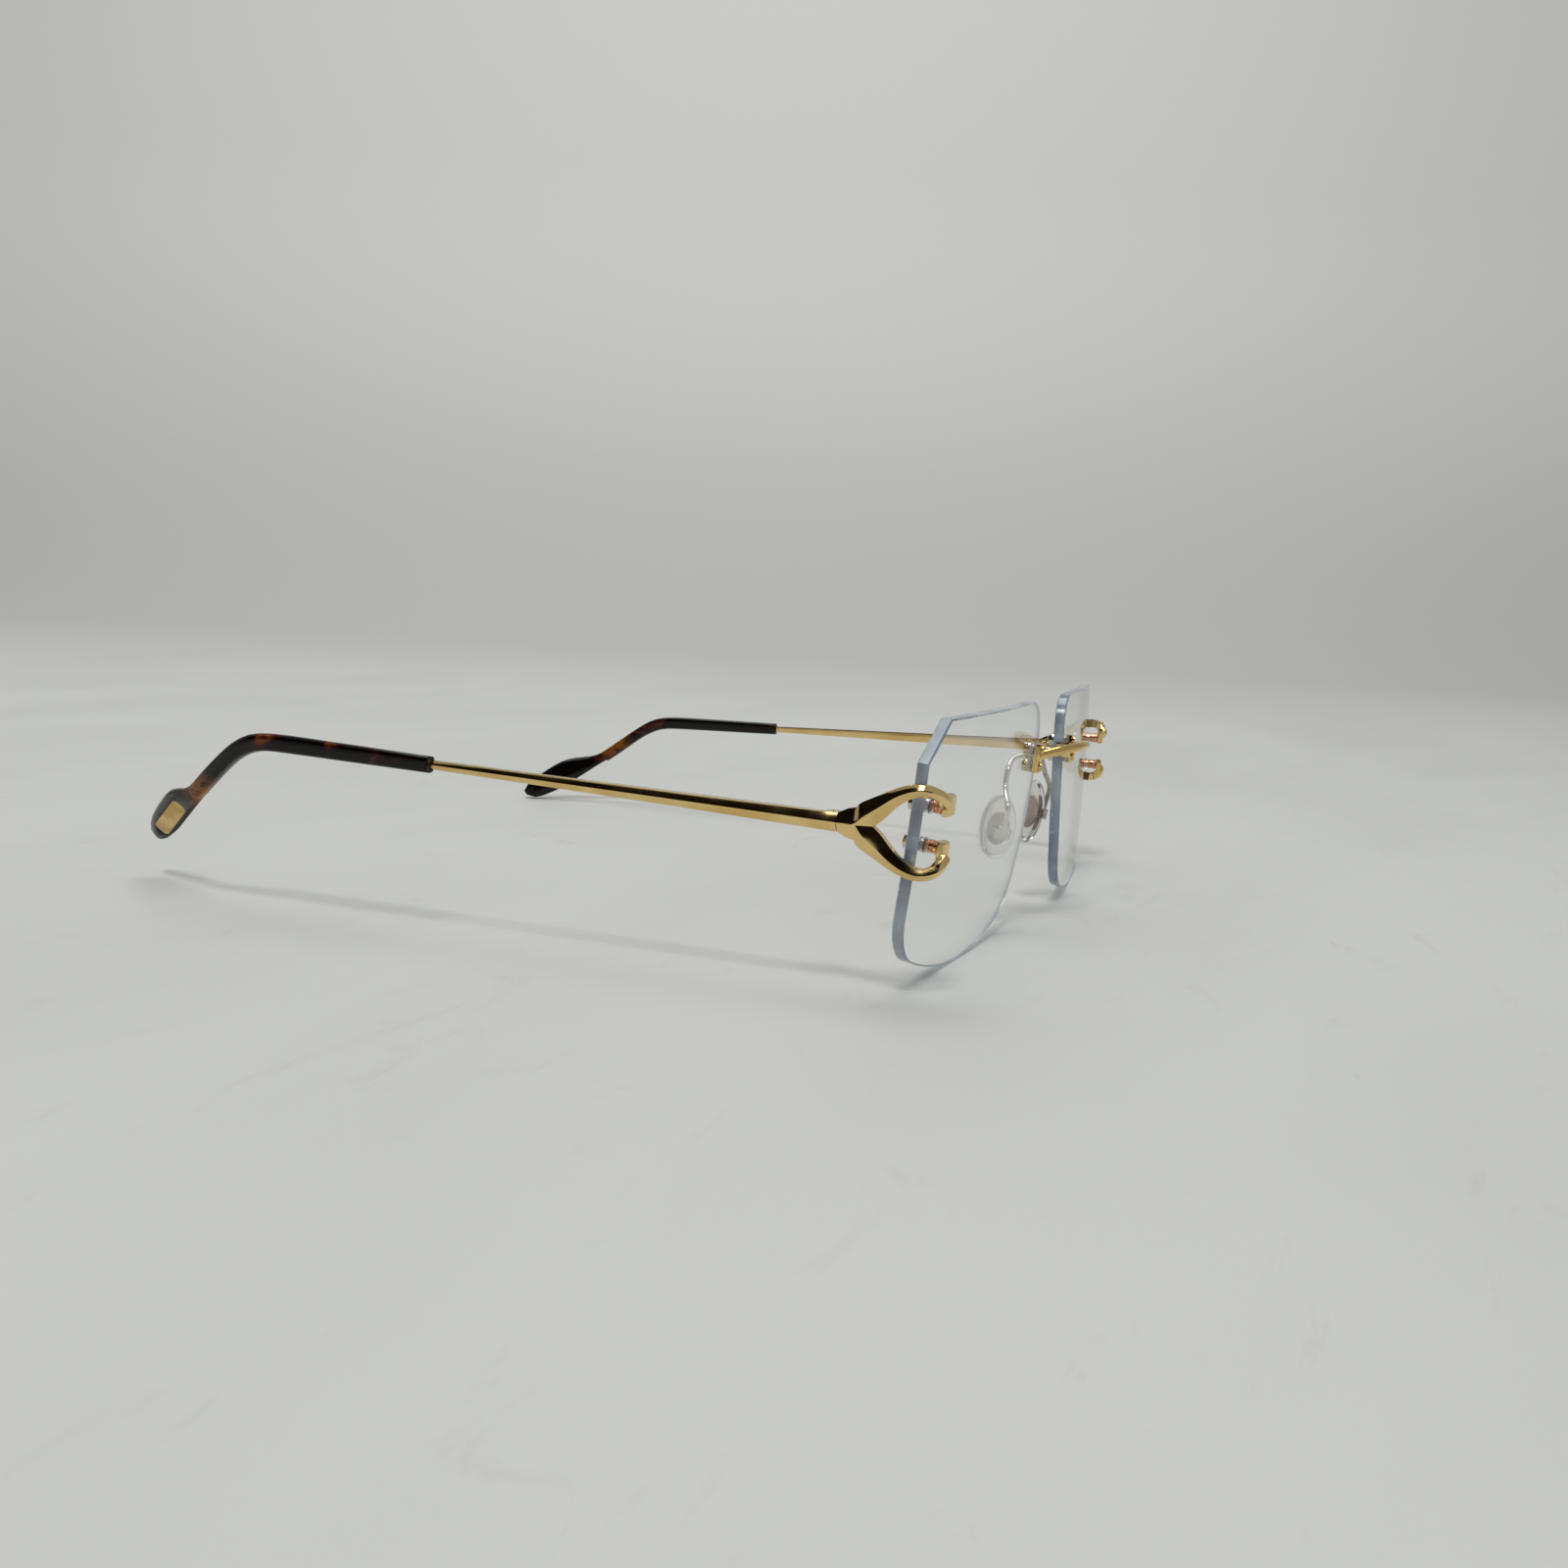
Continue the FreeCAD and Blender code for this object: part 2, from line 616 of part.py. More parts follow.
def make_front_leaf(node, side):
    """The fixed leaf: a plate on the fork with the upper and lower knuckles."""
    centre = pivot_place(side)
    top = stack_top()
    inner, outer = size("leaf_arm_in"), size("leaf_arm_out")
    thick = size("outer_knuckle")
    plate = side_box(f"{node}_plate", centre, (size("front_leaf_in"), size("front_leaf_out")),
                     (-size("front_leaf_start"), -size("front_leaf_end")), (-top, top), side)
    pieces = [plate]
    for word, low in (("upper", top - thick), ("lower", -top)):
        pieces.append(cylinder(f"{node}_{word}", pivot_place(side, low), "knuckle_dia / 2", "outer_knuckle"))
        pieces.append(side_box(f"{node}_{word}_arm", centre, (-inner, outer),
                               (-size("front_arm_long"), 0.0), (low, low + thick), side))
    whole = fuse(f"{node}_whole", pieces)
    bore = cylinder(f"{node}_bore", pivot_place(side, -top), "knuckle_bore_dia / 2", STACK_TALL)
    return label(cut(node, whole, bore), node)


def make_rear_leaf(node, side):
    """The moving leaf: a plate on the temple bar with the middle knuckle."""
    centre = pivot_place(side)
    half = size("middle_knuckle") / 2
    knuckle = cylinder(f"{node}_knuckle", pivot_place(side, -half), "knuckle_dia / 2", "middle_knuckle")
    arm = side_box(f"{node}_arm", centre, (-size("leaf_arm_in"), size("leaf_arm_out")),
                   (0.0, size("rear_arm_long")), (-half, half), side)
    plate = side_box(f"{node}_plate", centre, (size("rear_leaf_in"), size("rear_leaf_out")),
                     (size("rear_leaf_start"), size("rear_leaf_end")),
                     (-size("rear_leaf_half"), size("rear_leaf_half")), side)
    whole = fuse(f"{node}_whole", [knuckle, arm, plate])
    bore = cylinder(f"{node}_bore", pivot_place(side, -half), "knuckle_bore_dia / 2", "middle_knuckle")
    return label(cut(node, whole, bore), node)


def make_hinge_washers(node, side):
    """Two thin washers between the knuckles."""
    half = size("middle_knuckle") / 2
    slack = (size("knuckle_gap") - size("hinge_washer_thick")) / 2
    rings = []
    for index, low in enumerate((half + slack, -half - slack - size("hinge_washer_thick"))):
        rings.append(tube(f"{node}_{index}", pivot_place(side, low), "knuckle_dia / 2", "knuckle_bore_dia / 2",
                          "hinge_washer_thick"))
    return label(group(node, rings), node)


def make_hinge_screw(node, side):
    """The hinge pin with its slotted head on top."""
    top = stack_top()
    pin = cylinder(f"{node}_pin", pivot_place(side, -top), "hinge_pin_dia / 2",
                   f"{STACK_TALL} + seat_gap")
    head = cylinder(f"{node}_head", pivot_place(side, top + size("seat_gap")), "pin_head_dia / 2",
                    "pin_head_thick")
    whole = fuse(f"{node}_whole", [pin, head])
    corner = Vector(-size("pin_head_dia"), -size("screw_slot") / 2, top + size("pin_head_thick") / 2)
    slot = box(f"{node}_slot", pivot_place(side).multiply(Placement(corner, Rotation())),
               "pin_head_dia * 2", "screw_slot", "pin_head_thick")
    return label(cut(node, whole, slot), node)


# ---------------------------------------------------------------- temples

def from_pivot(side, x, y, z):
    """A working point seen from the hinge axis, which is the temple's own frame."""
    return Vector(side * (x - size("pivot_x")), y - size("pivot_y"), z)


def temple_feature(node, shape, side):
    """Keep a temple piece at its tilted frame."""
    feature = doc.addObject("Part::Feature", node)
    feature.Shape = shape
    feature.Placement = tilt_place(side)
    return label(feature, node)


def core_shape(side):
    """The wire that continues the bar inside the tip."""
    points = [tuple(from_pivot(side, x, y, z * TIP_DROOP[side])) for x, y, z in CORE]
    return rod(points, size("wire_core_dia"))


def evenly(stations, key, count):
    """Stations at even steps of one of their values, on a smooth curve through the given ones."""
    values = [station[key] for station in stations]
    curves = []
    for column in zip(*stations):
        curve = Part.BSplineCurve()
        curve.interpolate([Vector(place, value, 0) for place, value in zip(values, column)], Parameters=values)
        curves.append(curve)
    steps = [values[0] + (values[-1] - values[0]) * index / (count - 1) for index in range(count)]
    return [tuple(curve.value(step).y for curve in curves) for step in steps]


def bar_shape(side):
    """The slender ridged bar, with its wire core."""
    wires = []
    for x, y, height, thick in evenly(BAR, 1, BAR_STATIONS):
        middle = from_pivot(side, x, y, 0)
        wires.append(house(middle, Vector(0, 0, height / 2), Vector(side * thick / 2, 0, 0), BAR_RIDGE))
    blade = Part.makeLoft(wires, True, False)
    return blade.fuse(core_shape(side)).removeSplitter()


def make_bar(node, side):
    """The bar at its tilted frame."""
    return temple_feature(node, bar_shape(side), side)


def tip_section(side, station):
    """A rounded section of the tip between its upper and lower edges."""
    top_y, top_z, low_y, low_z, x, thick = station
    top = from_pivot(side, x, top_y, top_z)
    low = from_pivot(side, x, low_y, low_z)
    middle = (top + low) * 0.5
    middle.z *= TIP_DROOP[side]
    up = (top - low) * 0.5
    out = Vector(side * thick / 2, 0, 0)
    corner = TIP_CORNER
    turns = [(0, 1), (corner, corner), (1, 0), (corner, -corner), (0, -1), (-corner, -corner), (-1, 0),
             (-corner, corner)]
    curve = Part.BSplineCurve()
    curve.interpolate([middle + out * a + up * b for a, b in turns], PeriodicFlag=True)
    return Part.Wire([curve.toShape()])


def plaque_place(side):
    """The middle of the plaque's outer face, in the temple's own frame: Y along the tip, Z outward."""
    along = Vector(-side * PLAQUE_ALONG[0], PLAQUE_ALONG[1], PLAQUE_ALONG[2]).normalize()
    sideways = Vector(side, 0, 0)
    level = (sideways - along * sideways.dot(along)).normalize()
    out = Rotation(along, side * size("plaque_roll")).multVec(level)
    x, y, z = PLAQUE_MIDDLE
    return Placement(from_pivot(side, x, y, z * TIP_DROOP[side]), Rotation(out.cross(-along), along, out, "ZYX"))


def plaque_plate(name, side, proud=False):
    """A plain plate with round corners; the proud one also stands out of the tip, to cut its recess."""
    body = doc.addObject("PartDesign::Body", name)
    sketch = body.newObject("Sketcher::SketchObject", f"{name}_outline")
    sketch.AttachmentSupport = [(plane_of(body, "XY_Plane"), "")]
    sketch.MapMode = "FlatFace"
    wide = size("plaque_wide") / 2
    tall = size("plaque_long") / 2
    corners = [Vector(-wide, -tall, 0), Vector(wide, -tall, 0), Vector(wide, tall, 0), Vector(-wide, tall, 0)]
    for start, end in zip(corners, corners[1:] + corners[:1]):
        sketch.addGeometry(Part.LineSegment(start, end), False)
    pad = body.newObject("PartDesign::Pad", f"{name}_pad")
    pad.Profile = sketch
    pad.Reversed = True
    pad.setExpression("Length", cell("plaque_thick"))
    if proud:
        pad.SideType = "Symmetric"
        pad.setExpression("Length", cell("plaque_thick * 2"))
    doc.recompute()
    fillet = body.newObject("PartDesign::Fillet", f"{name}_round")
    upright = [f"Edge{index}" for index, edge in enumerate(pad.Shape.Edges, start=1)
               if abs(edge.tangentAt(edge.FirstParameter).z) > 0.9]
    fillet.Base = (pad, upright)
    fillet.setExpression("Radius", cell("plaque_round"))
    body.Placement = tilt_place(side).multiply(plaque_place(side))
    return body


def path_lengths(stations):
    """How far along the tip each station is."""
    lengths = [0.0]
    for one, other in zip(stations, stations[1:]):
        rise = math.dist(one[:4:2] + one[1:4:2], other[:4:2] + other[1:4:2]) / math.sqrt(2)
        lengths.append(lengths[-1] + rise)
    return lengths


def make_tip(node, side):
    """The dark shaped tip, bored for the wire core, planed flat outside and recessed for the plaque."""
    recess = plaque_plate(f"{node}_recess", side, proud=True)
    doc.recompute()
    tool = recess.Shape.copy()
    tool.Placement = plaque_place(side)
    flat = Part.makeBox(size("flat_wide"), size("flat_long"), size("flat_deep"))
    flat.Placement = at(plaque_place(side), -size("flat_wide") / 2, -size("flat_long") / 2, 0)
    stations = [station + (length,) for station, length in zip(TIP, path_lengths(TIP))]
    wires = [tip_section(side, station[:6]) for station in evenly(stations, 6, TIP_STATIONS)]
    shape = Part.makeLoft(wires, True, TIP_RULED).cut([bar_shape(side), flat, tool])
    return temple_feature(node, shape, side)


# ---------------------------------------------------------------- nose pads

def pad_turn(side):
    """Attitude of a nose pad: X across the pad, Y along it, Z away from the nose."""
    splay = math.radians(size("pad_splay"))
    away = Vector(side * math.cos(splay), -math.sin(splay), 0)
    across = Vector(0, 0, 1).cross(away)
    upright = Rotation(across, Vector(0, 0, 1), away, "ZYX")
    return upright.multiply(Rotation(Vector(1, 0, 0), size("pad_lean")))


def pad_pivot(side):
    """The axis on which a pad rocks: X along the pin."""
    turn = pad_turn(side)
    centre = Vector(side * size("pad_x"), size(f"{WORDS[side]}_pad_y"), size("pad_z"))
    pin = centre + turn.multVec(Vector(0, 0, size("pad_drop")))
    return Placement(REST + pin, turn)


ALONG_X = Rotation(Vector(0, 1, 0), 90)


def make_insert(node, side):
    """The frosted core of a pad, with the tab that the pin goes through."""
    pivot = pad_pivot(side)
    drop = size("pad_drop")
    plate = bound("Part::Ellipsoid", f"{node}_plate", at(pivot, 0, 0, size("core_raise") - drop),
                  Radius1=cell("core_thick / 2"), Radius2=cell("core_wide / 2"), Radius3=cell("core_long / 2"))
    eye = cylinder(f"{node}_eye", at(pivot, -size("tab_wide") / 2, 0, 0, ALONG_X), "tab_dia / 2", "tab_wide")
    stem = box(f"{node}_stem", at(pivot, -size("tab_wide") / 2, -size("tab_dia") / 2, -drop),
               "tab_wide", "tab_dia", "pad_drop")
    whole = fuse(f"{node}_whole", [plate, eye, stem])
    bore = cylinder(f"{node}_bore", at(pivot, -size("tab_wide"), 0, 0, ALONG_X), "tab_bore_dia / 2", "tab_wide * 2")
    return label(cut(node, whole, bore), node)


def make_pad(node, side, insert):
    """A soft clear oval pad moulded round its core."""
    oval = bound("Part::Ellipsoid", f"{node}_oval", at(pad_pivot(side), 0, 0, -size("pad_drop")),
                 Radius1=cell("pad_thick / 2"), Radius2=cell("pad_wide / 2"), Radius3=cell("pad_long / 2"))
    return label(cut(node, oval, insert), node)


def make_box(node, side):
    """The little slotted box on the pad arm that holds the pad's tab."""
    pivot = pad_pivot(side)
    wide = size("box_wide") / 2
    tall = size("box_tall") / 2
    lump = box(f"{node}_lump", at(pivot, -wide, -tall, -size("box_lip")), "box_wide", "box_tall", "box_deep")
    slot = box(f"{node}_slot", at(pivot, -size("box_slot") / 2, -tall, -size("box_lip")),
               "box_slot", "box_tall", "box_lip + tab_dia / 2 + slot_spare")
    open_box = cut(f"{node}_open", lump, slot)
    bore = cylinder(f"{node}_bore", at(pivot, -wide, 0, 0, ALONG_X), "tab_bore_dia / 2", "box_wide")
    return label(cut(node, open_box, bore), node)


def make_pad_screw(node, side):
    """The pin that the pad rocks on, with a round head."""
    pivot = pad_pivot(side)
    wide = size("box_wide") / 2
    pin = cylinder(f"{node}_pin", at(pivot, -wide, 0, 0, ALONG_X), "pad_pin_dia / 2", "box_wide")
    head = cylinder(f"{node}_head", at(pivot, wide, 0, 0, ALONG_X), "pad_pin_head_dia / 2",
                    "pad_pin_head_thick")
    return label(fuse(node, [pin, head]), node)


def make_pad_arm(node, side):
    """The wire arm from the bridge's saddle to the pad's box."""
    points = [twisted(point) for point in PAD_ARM] if side > 0 else PAD_ARM
    pivot = pad_pivot(side)
    ends = [at(pivot, 0, up, away).Base - REST for up, away in PAD_ARM_END]
    path = [Vector(side * x, y, z) for x, y, z in points] + ends
    return solid_feature(node, rod(path, size("arm_dia")))


# ---------------------------------------------------------------- the whole

def make_side(word, side):
    """Every sub-part of one side."""
    nasal = nasal_bores(side)
    outer = outer_bores(side)
    parts = [
        make_lens(f"{word}_lens", side),
        make_bridge_screws(f"{word}_bridge_screws", nasal),
        make_sleeves(f"{word}_bridge_sleeves", nasal),
        make_washers(f"{word}_bridge_washers", nasal),
        make_nuts(f"{word}_bridge_nuts", nasal),
        make_endpiece(f"{word}_endpiece", side),
        make_studs(f"{word}_endpiece_studs", outer),
        make_sleeves(f"{word}_endpiece_sleeves", outer),
        make_washers(f"{word}_endpiece_washers", outer),
        make_nuts(f"{word}_endpiece_nuts", outer),
        make_front_leaf(f"{word}_hinge_front_leaf", side),
        make_hinge_screw(f"{word}_hinge_screw", side),
        make_hinge_washers(f"{word}_hinge_washers", side),
        make_rear_leaf(f"{word}_hinge_rear_leaf", side),
        make_bar(f"{word}_temple_bar", side),
        make_pad_arm(f"{word}_pad_arm", side),
        make_box(f"{word}_pad_box", side),
        make_pad_screw(f"{word}_pad_screw", side),
    ]
    insert = make_insert(f"{word}_pad_insert", side)
    parts += [
        label(plaque_plate(f"{word}_tip_plaque", side), f"{word}_tip_plaque"),
        make_tip(f"{word}_temple_tip", side),
        insert,
        make_pad(f"{word}_nose_pad", side, insert),
    ]
    return parts


def check(parts):
    """Stop if any object failed, or any sub-part is not a sound solid."""
    for thing in doc.Objects:
        if "Invalid" in thing.State or "Error" in thing.State:
            raise RuntimeError(f"{thing.Label} failed: {thing.State}")
    for part in parts:
        shape = part.Shape
        if shape.isNull() or not shape.isValid() or not shape.Solids:
            raise RuntimeError(f"{part.Label} has no sound shape")


def report_box(parts):
    """Print the size of the whole."""
    whole = FreeCAD.BoundBox()
    for part in parts:
        whole.add(part.Shape.BoundBox)
    print("box", [round(value, 2) for value in (whole.XMin, whole.XMax, whole.YMin, whole.YMax,
                                                whole.ZMin, whole.ZMax)])


def main():
    """Build, check and export every sub-part."""
    parts = [make_bridge("bridge")]
    for word, side in SIDES.items():
        parts += make_side(word, side)
    doc.recompute()
    check(parts)
    report_box(parts)
    os.makedirs("parts", exist_ok=True)
    for part in parts:
        part.Shape.exportStep(f"parts/{part.Label}.step")


main()
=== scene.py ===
"""Rimless eyeglasses on a pale studio floor: clear drilled lenses, gilt metal and dark marbled tips.

Metres throughout, in the part's own frame: +Z up, the front of the glasses toward -Y.
"""

import math

import bmesh
import bpy
import numpy as np
from mathutils import Matrix, Vector


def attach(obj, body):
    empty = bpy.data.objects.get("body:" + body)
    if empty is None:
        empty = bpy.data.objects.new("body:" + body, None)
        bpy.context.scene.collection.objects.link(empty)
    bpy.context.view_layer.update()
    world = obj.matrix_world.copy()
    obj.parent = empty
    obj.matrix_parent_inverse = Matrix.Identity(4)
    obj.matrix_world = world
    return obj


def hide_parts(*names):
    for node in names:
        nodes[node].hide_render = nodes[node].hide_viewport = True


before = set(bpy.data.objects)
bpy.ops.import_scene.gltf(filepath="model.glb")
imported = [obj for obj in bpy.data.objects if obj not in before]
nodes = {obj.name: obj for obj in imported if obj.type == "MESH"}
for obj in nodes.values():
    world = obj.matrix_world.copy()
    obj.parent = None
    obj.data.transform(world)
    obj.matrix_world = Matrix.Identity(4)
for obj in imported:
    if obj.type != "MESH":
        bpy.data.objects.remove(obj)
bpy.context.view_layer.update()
scene = bpy.context.scene

MM = 0.001
SIDES = ("left", "right")

# ---------------------------------------------------------------- camera

CAMERA_PLACE = Vector((-0.25285, -0.11930, 0.05615))
CAMERA_RIGHT = Vector((0.3745, -0.9258, 0.0511))
CAMERA_DOWN = Vector((-0.1062, -0.0976, -0.9895))
CAMERA_AHEAD = Vector((0.9211, 0.3651, -0.1349))
LENS_LENGTH_MM = 33.3
SENSOR_WIDTH_MM = 36.0
NEAREST_SEEN = 0.01


def placed(name, data):
    """A new object in the scene."""
    thing = bpy.data.objects.new(name, data)
    scene.collection.objects.link(thing)
    return thing


def place_camera():
    """The view along the right temple, a little above the floor."""
    data = bpy.data.cameras.new("studio_camera")
    data.lens = LENS_LENGTH_MM
    data.sensor_width = SENSOR_WIDTH_MM
    data.clip_start = NEAREST_SEEN
    camera = placed("studio_camera", data)
    turn = Matrix((CAMERA_RIGHT, -CAMERA_DOWN, -CAMERA_AHEAD)).transposed()
    camera.matrix_world = Matrix.Translation(CAMERA_PLACE) @ turn.to_4x4()
    scene.camera = camera


place_camera()

# ---------------------------------------------------------------- small helpers for shaders


def straightened(value):
    """One screen value from 0 to 255 by the usual screen curve, as an amount of light from 0 to 1."""
    value = value / 255
    return value / 12.92 if value <= 0.04045 else ((value + 0.055) / 1.055) ** 2.4


def linear(red, green, blue):
    """A colour given as ordinary screen values, made linear, with full alpha."""
    return (straightened(red), straightened(green), straightened(blue), 1.0)


def add(tree, kind, place=(0, 0), **settings):
    """A shader node with its settings."""
    node = tree.nodes.new(kind)
    node.location = place
    for name, value in settings.items():
        setattr(node, name, value)
    return node


def feed(tree, source, target):
    """Join an output to an input."""
    tree.links.new(source, target)


def ranged(tree, source, low, high, to_low, to_high, smooth=False):
    """A value moved from one range to another."""
    node = add(tree, "ShaderNodeMapRange")
    node.interpolation_type = "SMOOTHSTEP" if smooth else "LINEAR"
    feed(tree, source, node.inputs["Value"])
    node.inputs["From Min"].default_value = low
    node.inputs["From Max"].default_value = high
    node.inputs["To Min"].default_value = to_low
    node.inputs["To Max"].default_value = to_high
    return node.outputs["Result"]


def blended(tree, mask, first, second):
    """Two colours mixed by a mask; each is a socket or a plain colour."""
    node = add(tree, "ShaderNodeMix", data_type="RGBA")
    feed(tree, mask, node.inputs["Factor"])
    for name, colour in (("A", first), ("B", second)):
        socket = next(s for s in node.inputs if s.name == name and s.type == "RGBA")
        if hasattr(colour, "links"):
            feed(tree, colour, socket)
        else:
            socket.default_value = colour
    return next(s for s in node.outputs if s.type == "RGBA")


def object_place(tree):
    """Where a point is on the object, in metres."""
    return add(tree, "ShaderNodeTexCoord").outputs["Object"]


def noise(tree, vector, scale, detail=3.0, roughness=0.5, distortion=0.0):
    """Cloudy noise at so many clouds in a metre."""
    node = add(tree, "ShaderNodeTexNoise")
    feed(tree, vector, node.inputs["Vector"])
    node.inputs["Scale"].default_value = scale
    node.inputs["Detail"].default_value = detail
    node.inputs["Roughness"].default_value = roughness
    node.inputs["Distortion"].default_value = distortion
    return node.outputs["Fac"]


# ---------------------------------------------------------------- effects that several finishes share


def effect_group(name, inputs, outputs):
    """An empty shader group with named sockets; inputs are (name, kind, default)."""
    group = bpy.data.node_groups.new(name, "ShaderNodeTree")
    for socket_name, kind, default in inputs:
        socket = group.interface.new_socket(socket_name, in_out="INPUT", socket_type=kind)
        socket.default_value = default
    for socket_name, kind in outputs:
        group.interface.new_socket(socket_name, in_out="OUTPUT", socket_type=kind)
    entry = group.nodes.new("NodeGroupInput")
    way_out = group.nodes.new("NodeGroupOutput")
    return group, entry, way_out


def make_handling():
    """Faint smears and hairlines that a polished surface picks up in the hand."""
    inputs = [
        ("Smear Scale", "NodeSocketFloat", 150.0),
        ("Polish", "NodeSocketFloat", 0.12),
        ("Smear", "NodeSocketFloat", 0.06),
        ("Hairline Scale", "NodeSocketFloat", 900.0),
    ]
    outputs = [("Roughness", "NodeSocketFloat"), ("Height", "NodeSocketFloat")]
    group, entry, way_out = effect_group("handling marks", inputs, outputs)
    place = object_place(group)
    cloud = add(group, "ShaderNodeTexNoise")
    feed(group, place, cloud.inputs["Vector"])
    feed(group, entry.outputs["Smear Scale"], cloud.inputs["Scale"])
    cloud.inputs["Detail"].default_value = 4.0
    spread = ranged(group, cloud.outputs["Fac"], 0.35, 0.7, 0.0, 1.0, smooth=True)
    amount = add(group, "ShaderNodeMath", operation="MULTIPLY")
    feed(group, spread, amount.inputs[0])
    feed(group, entry.outputs["Smear"], amount.inputs[1])
    total = add(group, "ShaderNodeMath", operation="ADD")
    feed(group, amount.outputs[0], total.inputs[0])
    feed(group, entry.outputs["Polish"], total.inputs[1])
    feed(group, total.outputs[0], way_out.inputs["Roughness"])
    stretch = add(group, "ShaderNodeMapping")
    stretch.inputs["Scale"].default_value = (1.0, 0.12, 1.0)
    stretch.inputs["Rotation"].default_value = (0.2, 0.1, 0.3)
    feed(group, place, stretch.inputs["Vector"])
    lines = add(group, "ShaderNodeTexNoise")
    feed(group, stretch.outputs["Vector"], lines.inputs["Vector"])
    feed(group, entry.outputs["Hairline Scale"], lines.inputs["Scale"])
    lines.inputs["Detail"].default_value = 5.0
    lines.inputs["Roughness"].default_value = 0.7
    feed(group, ranged(group, lines.outputs["Fac"], 0.3, 0.75, 0.0, 1.0), way_out.inputs["Height"])
    return group


def make_plating():
    """Slow change between two shades of a plated colour."""
    inputs = [
        ("Bright", "NodeSocketColor", (1, 1, 1, 1)),
        ("Deep", "NodeSocketColor", (0.5, 0.5, 0.5, 1)),
        ("Cloud Scale", "NodeSocketFloat", 120.0),
    ]
    group, entry, way_out = effect_group("plating shades", inputs, [("Color", "NodeSocketColor")])
    place = object_place(group)
    cloud = add(group, "ShaderNodeTexNoise")
    feed(group, place, cloud.inputs["Vector"])
    feed(group, entry.outputs["Cloud Scale"], cloud.inputs["Scale"])
    cloud.inputs["Detail"].default_value = 3.0
    mask = ranged(group, cloud.outputs["Fac"], 0.32, 0.68, 0.0, 1.0, smooth=True)
    shade = blended(group, mask, entry.outputs["Bright"], entry.outputs["Deep"])
    feed(group, shade, way_out.inputs["Color"])
    return group


HANDLING = make_handling()
PLATING = make_plating()


def placed_group(tree, group, **values):
    """A shared effect in a material, with its own values; underscores stand for spaces."""
    node = add(tree, "ShaderNodeGroup")
    node.node_tree = group
    for name, value in values.items():
        node.inputs[name.replace("_", " ")].default_value = value
    return node


def shade_and_mark(tree, surface, bright, deep, cloud_scale, **handling):
    """Give a shader two slowly changing shades and marks of handling; returns the marks' height."""
    shades = placed_group(tree, PLATING, Bright=bright, Deep=deep, Cloud_Scale=cloud_scale)
    marks = placed_group(tree, HANDLING, **handling)
    feed(tree, shades.outputs["Color"], surface.inputs["Base Color"])
    feed(tree, marks.outputs["Roughness"], surface.inputs["Roughness"])
    return marks.outputs["Height"]


def bump(tree, height, strength, distance, target):
    """Small relief from a height."""
    node = add(tree, "ShaderNodeBump")
    node.inputs["Strength"].default_value = strength
    node.inputs["Distance"].default_value = distance
    feed(tree, height, node.inputs["Height"])
    feed(tree, node.outputs["Normal"], target.inputs["Normal"])


def new_finish(name):
    """A material with one plain shader; returns the material, its tree and the shader."""
    finish = bpy.data.materials.new(name)
    finish.use_nodes = True
    tree = finish.node_tree
    tree.nodes.clear()
    out = add(tree, "ShaderNodeOutputMaterial", (600, 0))
    surface = add(tree, "ShaderNodeBsdfPrincipled", (300, 0))
    feed(tree, surface.outputs["BSDF"], out.inputs["Surface"])
    return finish, tree, surface


def set_plain(surface, **values):
    """Plain values on the shader's own sockets; underscores stand for spaces."""
    for name, value in values.items():
        surface.inputs[name.replace("_", " ")].default_value = value


# ---------------------------------------------------------------- finishes


HAIRLINE_RELIEF = 0.05
HAIRLINE_DEPTH = 0.02 * MM
GRAIN_DEPTH = 0.03 * MM


def plated_metal(name, bright, deep, polish, smear, cloud_scale=120.0):
    """Polished, plated metal with faint smears and hairlines."""
    finish, tree, surface = new_finish(name)
    set_plain(surface, Metallic=1.0)
    height = shade_and_mark(tree, surface, bright, deep, cloud_scale, Polish=polish, Smear=smear)
    bump(tree, height, HAIRLINE_RELIEF, HAIRLINE_DEPTH, surface)
    return finish


def plaque_metal():
    """Satin gilt with a fine pebbled face."""
    finish, tree, surface = new_finish("satin_plaque_gilt")
    set_plain(surface, Metallic=1.0)
    bright, deep = linear(226, 196, 138), linear(200, 166, 106)
    shade_and_mark(tree, surface, bright, deep, 420.0, Smear_Scale=500.0, Polish=0.36, Smear=0.14)
    bump(tree, noise(tree, object_place(tree), 2600.0, 2.0), 0.35, GRAIN_DEPTH, surface)
    return finish


def let_lamps_through(tree, surface, tint):
    """Glass that shadow rays pass, so that it shades the floor only lightly."""
    out = next(node for node in tree.nodes if node.type == "OUTPUT_MATERIAL")
    path = add(tree, "ShaderNodeLightPath")
    clear = add(tree, "ShaderNodeBsdfTransparent")
    clear.inputs["Color"].default_value = tint
    mix = add(tree, "ShaderNodeMixShader")
    feed(tree, path.outputs["Is Shadow Ray"], mix.inputs[0])
    feed(tree, surface.outputs["BSDF"], mix.inputs[1])
    feed(tree, clear.outputs["BSDF"], mix.inputs[2])
    feed(tree, mix.outputs["Shader"], out.inputs["Surface"])


def lens_glass():
    """Clear lens faces with a trace of wiping marks."""
    finish, tree, surface = new_finish("clear_lens")
    set_plain(surface, Transmission_Weight=1.0, IOR=1.5, Specular_IOR_Level=0.3)
    bright, deep = linear(254, 254, 254), linear(250, 251, 252)
    shade_and_mark(tree, surface, bright, deep, 60.0, Smear_Scale=90.0, Polish=0.0, Smear=0.025)
    let_lamps_through(tree, surface, (0.90, 0.91, 0.92, 1))
    return finish


